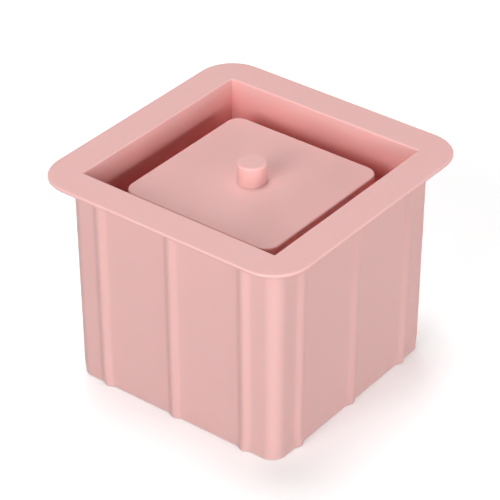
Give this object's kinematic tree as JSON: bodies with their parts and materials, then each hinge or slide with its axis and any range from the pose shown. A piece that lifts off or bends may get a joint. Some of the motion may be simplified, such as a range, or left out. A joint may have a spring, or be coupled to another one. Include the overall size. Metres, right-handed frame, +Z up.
{
  "type": "silicone casting mould",
  "caption": "Square silicone casting mould with a rim flange, ribbed walls, a central core and a drain-hole peg, for casting a pot upside down.",
  "frame": {"origin": "centre of the base, on the surface that the mould stands on", "axes": "+Z up, the way the core and the peg lift out; +X and +Y square to the walls"},
  "size_m": [0.13, 0.13, 0.1008],
  "materials": {
    "silicone": "satin"
  },
  "bodies": {
    "outer_mould": {"outer_mould": "silicone"},
    "core": {"core": "silicone"},
    "drain_peg": {"drain_peg": "silicone"}
  },
  "joints": [
    {"name": "core_lift", "type": "slide", "parent": "outer_mould", "child": "core", "axis": [0, 0, 1], "range_m": [0, 0.1]},
    {"name": "peg_pull", "type": "slide", "parent": "core", "child": "drain_peg", "axis": [0, 0, 1], "range_m": [0, 0.03]}
  ]
}
